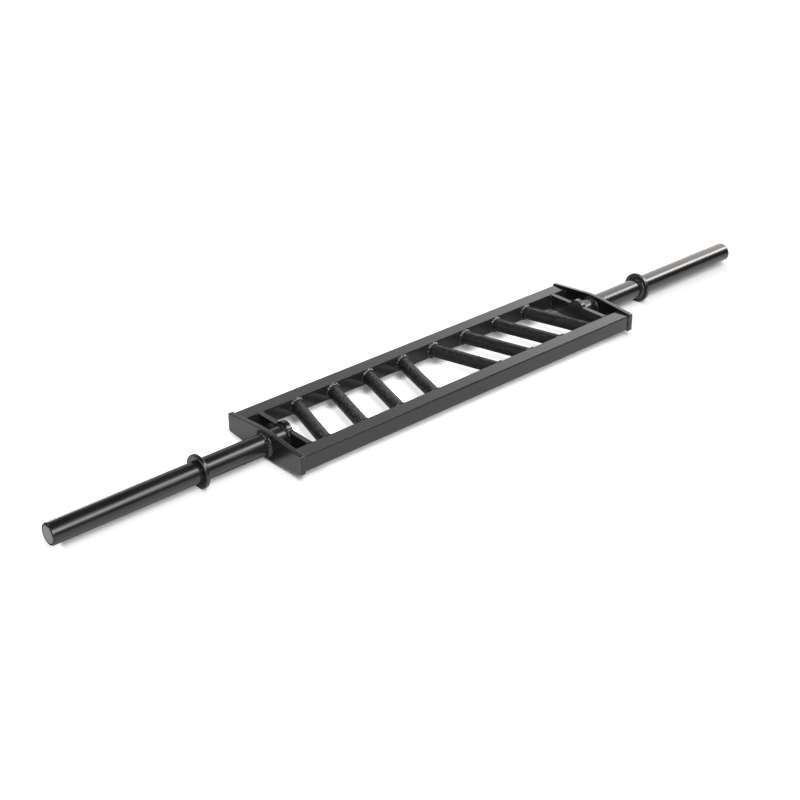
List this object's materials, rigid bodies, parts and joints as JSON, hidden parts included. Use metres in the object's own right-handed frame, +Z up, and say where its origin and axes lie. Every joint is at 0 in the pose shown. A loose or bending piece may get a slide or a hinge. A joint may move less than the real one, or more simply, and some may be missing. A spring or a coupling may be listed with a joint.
{
  "type": "swiss bar",
  "caption": "Black welded strength-training bar with slanted knurled grips between parallel square rails and a collared sleeve at each end for weight plates.",
  "frame": {"origin": "centre of the bar, on the axis of its sleeves", "axes": "+X along the bar to the right-hand sleeve, +Y across the bar to the back rail, towards which the grips converge, +Z up"},
  "size_m": [2.1166, 0.267, 0.0778],
  "materials": {
    "rail_coat": "satin black powder coat",
    "plate_coat": "satin black powder coat",
    "sleeve_coat": "smooth semi-gloss black coat",
    "collar_coat": "smooth semi-gloss black coat",
    "grip_knurl": "knurled steel, matt black",
    "weld_coat": "welds under black coat",
    "cap_grey": "matt dark grey plastic"
  },
  "bodies": {
    "root": {"front_rail": "rail_coat", "back_rail": "rail_coat", "grip_1": "grip_knurl", "grip_2": "grip_knurl", "grip_3": "grip_knurl", "grip_4": "grip_knurl", "grip_5": "grip_knurl", "grip_6": "grip_knurl", "grip_7": "grip_knurl", "grip_8": "grip_knurl", "left_end_plate": "plate_coat", "left_inner_plate": "plate_coat", "left_sleeve": "sleeve_coat", "left_collar": "collar_coat", "left_sleeve_cap": "cap_grey", "left_sleeve_weld": "weld_coat", "left_collar_weld": "weld_coat", "left_pocket_weld": "weld_coat", "left_root_weld": "weld_coat", "right_end_plate": "plate_coat", "right_inner_plate": "plate_coat", "right_sleeve": "sleeve_coat", "right_collar": "collar_coat", "right_sleeve_cap": "cap_grey", "right_sleeve_weld": "weld_coat", "right_collar_weld": "weld_coat", "right_pocket_weld": "weld_coat", "right_root_weld": "weld_coat"}
  },
  "joints": []
}
